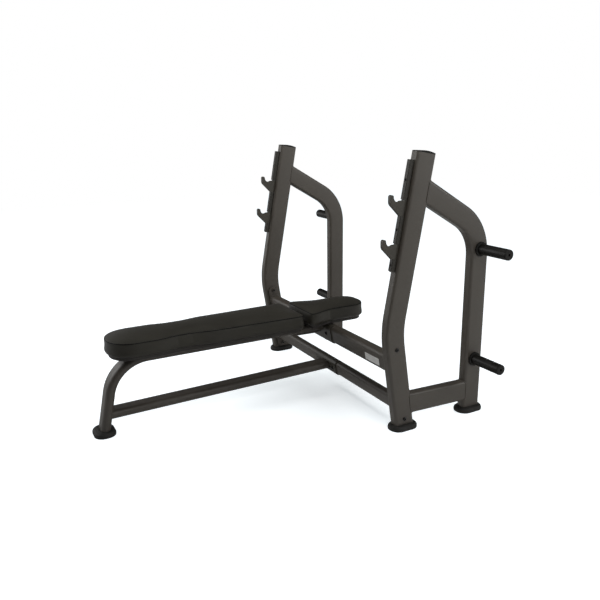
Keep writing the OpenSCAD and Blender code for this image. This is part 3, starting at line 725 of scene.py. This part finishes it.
def seam_shade_cord(name, outline, front):
    """Near-black cord in the seam as painted seam shade: a small ellipse carried round the outline,
    half sunk in the groove.
    """
    inset, spacing, across, up, points = 3.0, 5.0, 2.0, 1.9, 8
    line = even(inwards(outline, inset), spacing)
    t = directions(line)
    out = np.stack([t[:, 1], -t[:, 0]], -1)
    v = circle(points)
    level = line[:, None] + across * np.cos(v)[None, :, None] * out[:, None]
    height = np.broadcast_to(SEAM_SHADE_Z + up * np.sin(v)[None, :, None], (len(line), points, 1))
    grid = np.concatenate([level, height], -1) + [[[0, front, 0]]]
    link(name, grid.reshape(-1, 3), quads(len(line), points, along=True), seam_shade_vinyl,
         sharp=60.0)


def pad(name, node, stops, length, front, front_r, rear_r):
    """A pad: its rings closed on the middle line, filled out as foam under vinyl, smoothed once."""
    outline = plan(stops, length, front_r, rear_r, spacing=7.0)
    grid = pad_grid(outline, length, front)
    obj = link(name, grid.reshape(-1, 3), quads(*grid.shape[:2]), vinyl,
               sharp=75.0, merge=0.02)
    fill_out(obj)
    smoother = obj.modifiers.new("smooth", "SUBSURF")
    smoother.levels = smoother.render_levels = 1
    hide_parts(node)
    stitches(name + "_topstitch", grid[STITCH_RING])
    seam_shade_cord(name + "_welt", outline, front)


# Half widths at distances from the front: round nose, waist and shoulders; then shoulders and neck
MAIN_STOPS = [(0, 120), (200, 120), (300, 105), (345, 105), (480, 123), (MAIN_LENGTH, 133)]
HEAD_STOPS = [(0, 128), (145, 91), (HEAD_LENGTH, 91)]
pad("main_cushion", "main_pad", MAIN_STOPS, MAIN_LENGTH, PAD_FRONT, front_r=113.0, rear_r=18.0)
pad("head_cushion", "head_pad", HEAD_STOPS, HEAD_LENGTH, HEAD_FRONT, front_r=16.0, rear_r=70.0)


# Bare plate on the front of the upper crossbeam, held by adhesive: a thin plate with a bevelled edge

PLATE_X, PLATE_DROP = 463.5, 7.5
PLATE_SIZE, PLATE_CORNER = (110.0, 33.0), 3.0
# Insets of its three rings, and how far they stand before the beam
PLATE_INSETS, PLATE_DEPTHS = (0.0, 0.0, 0.5), np.array([0.0, 0.7, 1.1])
plate = np.stack([rounded(PLATE_SIZE[0] - 2 * i, PLATE_SIZE[1] - 2 * i, PLATE_CORNER - i, steps=6)
                  for i in PLATE_INSETS])
depth = -UPPER_BEAM[2] / 2 - PLATE_DEPTHS
leaning = depth[:, None, None] * BACK + (plate[..., 1:] - PLATE_DROP) * UP + [UPPER_BEAM[:2]]
size = plate.shape[:2]
plate = np.concatenate([PLATE_X + plate[..., :1], leaning], -1)
link("bare_plate", plate.reshape(-1, 3), quads(*size) + lids(*size), bare_plate,
     sharp=30.0)


# Camera: where the photograph was taken from, fitted to the frame's edges

AZIMUTH, ELEVATION, ROLL = math.radians(62.083), math.radians(15.365), -0.015
STAND = (2.6730, -1.2141, 1.3052)
SENSOR = 36.0
FOCAL_PIXELS, PHOTO_PIXELS = 632.13, 600.0
right = np.array([math.cos(AZIMUTH), math.sin(AZIMUTH), 0.0])
ahead = np.array([-math.sin(AZIMUTH) * math.cos(ELEVATION), math.cos(AZIMUTH) * math.cos(ELEVATION),
                  -math.sin(ELEVATION)])
above = np.cross(right, ahead)
placing = np.eye(4)
placing[:3, 0] = right * math.cos(ROLL) + above * math.sin(ROLL)
placing[:3, 1] = above * math.cos(ROLL) - right * math.sin(ROLL)
placing[:3, 2] = -ahead
placing[:3, 3] = STAND
camera = bpy.data.objects.new("camera", bpy.data.cameras.new("camera"))
camera.data.sensor_fit = "HORIZONTAL"
camera.data.sensor_width = SENSOR
camera.data.lens = SENSOR * FOCAL_PIXELS / PHOTO_PIXELS
camera.matrix_world = Matrix(placing.tolist())
scene.collection.objects.link(camera)
scene.camera = camera


# Studio, in metres: five soft lamps, a dim room that is darkest behind the camera, and a pale floor

def lamp(name, place, aim, size, power):
    """Square soft lamp at a place, its face turned to a point."""
    light = bpy.data.lights.new(name, "AREA")
    light.size, light.energy = size, power
    obj = bpy.data.objects.new(name, light)
    obj.location = place
    obj.rotation_euler = (Vector(aim) - obj.location).to_track_quat("-Z", "Y").to_euler()
    scene.collection.objects.link(obj)


lamp("foot_end_softbox", (-2.2, -3.4, 2.2), (0, 0.1, 0.5), 2.2, 80)
lamp("left_softbox", (-4.0, -1.4, 1.3), (-0.4, 0.3, 0.6), 2.0, 18)
lamp("right_softbox", (4.2, 4.6, 2.8), (0.2, 0.2, 0.7), 2.6, 128)
lamp("near_softbox", (2.3, 0.1, 2.2), (0.3, 0.0, 0.7), 1.0, 17)
lamp("overhead_softbox", (0.35, 0.1, 2.6), (-0.2, 0.2, 0.6), 1.0, 22)

# The camera sees the room white
world = bpy.data.worlds.new("studio")
scene.world = world
tree = blank(world)
way = add(tree, "ShaderNodeTexCoord").outputs["Generated"]
rays = add(tree, "ShaderNodeLightPath").outputs
to_camera = measured(tree, "DOT_PRODUCT", way, (0.83, -0.50, 0.24))
dim = ranged(tree, to_camera, (0.55, 0.95), (0.09, 0.02), "SMOOTHSTEP")
# Mirror and glass rays see the white backdrop too, which stands to a little above the horizon
mirrored = maths(tree, "MAXIMUM", rays["Is Glossy Ray"], rays["Is Transmission Ray"])
height = add(tree, "ShaderNodeSeparateXYZ", None, {"Vector": way}).outputs["Z"]
backdrop = ranged(tree, height, (0.02, 0.1), (0.6, 0.0), "SMOOTHSTEP")
white = maths(tree, "MAXIMUM", rays["Is Camera Ray"], maths(tree, "MULTIPLY", mirrored, backdrop))
level = add(tree, "ShaderNodeMix", {"data_type": "FLOAT"}, {"Factor": white, "A": dim, "B": 1.0})
room = add(tree, "ShaderNodeBackground", None,
           {"Color": (1, 1, 1, 1), "Strength": level.outputs["Result"]})
add(tree, "ShaderNodeOutputWorld", None, {"Surface": room.outputs["Background"]})

# Floor of white paper
paper = bpy.data.materials.new("floor_paper")
tree = blank(paper)
rays = add(tree, "ShaderNodeLightPath").outputs
place = add(tree, "ShaderNodeTexCoord").outputs["Object"]
matt = add(tree, "ShaderNodeBsdfDiffuse", None, {"Color": linear("#dcddde")})
# Seen directly, it is lifted to white, less so under the crossbeams: painted shade there, darker near
# that point even where light falls, so that the shadow there stays and deepens
away = measured(tree, "DISTANCE", place, (0.13, 0.25, 0.0))
lift = maths(tree, "ADD", ranged(tree, away, (0.0, 0.5), (0.37, 0.8)),
             ranged(tree, away, (0.5, 2.5), (0.0, 0.2)))
# In a mirror it glows as a painted reflection, brighter towards the lamp on the right and dim before
# the foot end
lamp_side = measured(tree, "DOT_PRODUCT", place, (0.7, 0.71, 0.0))
head_side = measured(tree, "DOT_PRODUCT", place, (0.55, 0.83, 0.0))
painted_reflection_lift = maths(tree, "ADD", ranged(tree, lamp_side, (1.0, 5.0), (0.0, 0.5)),
                    ranged(tree, head_side, (0.0, 1.0), (0.0, 0.4), "SMOOTHSTEP"))
level = add(tree, "ShaderNodeMix", {"data_type": "FLOAT"},
            {"Factor": rays["Is Camera Ray"], "A": painted_reflection_lift, "B": lift}).outputs["Result"]
direct = maths(tree, "MAXIMUM", rays["Is Camera Ray"], rays["Is Glossy Ray"])
seen = maths(tree, "MAXIMUM", direct, rays["Is Transmission Ray"])
# A Mix node keeps its colours in inputs 6 and 7 and output 2: warm in the painted reflection, cool seen
# directly, which paints the floor's shadow blue
tint = add(tree, "ShaderNodeMix", {"data_type": "RGBA"},
           {"Factor": rays["Is Camera Ray"], 6: (1.0, 0.98, 0.93, 1), 7: (0.94, 1.0, 1.03, 1)})
glow = add(tree, "ShaderNodeEmission", None,
           {"Color": tint.outputs[2], "Strength": maths(tree, "MULTIPLY", seen, level)})
both = add(tree, "ShaderNodeAddShader", None, {0: matt.outputs[0], 1: glow.outputs[0]})
add(tree, "ShaderNodeOutputMaterial", None, {"Surface": both.outputs[0]})

edge = np.linspace(-9.0, 9.0, 13)
gx, gy = np.meshgrid(edge, edge, indexing="ij")
floor_mesh = bpy.data.meshes.new("floor")
floor_mesh.from_pydata(np.stack([gx, gy, gx * 0], -1).reshape(-1, 3).tolist(), [],
                       quads(len(edge), len(edge), around=False))
floor_mesh.materials.append(paper)
floor = bpy.data.objects.new("floor", floor_mesh)
scene.collection.objects.link(floor)
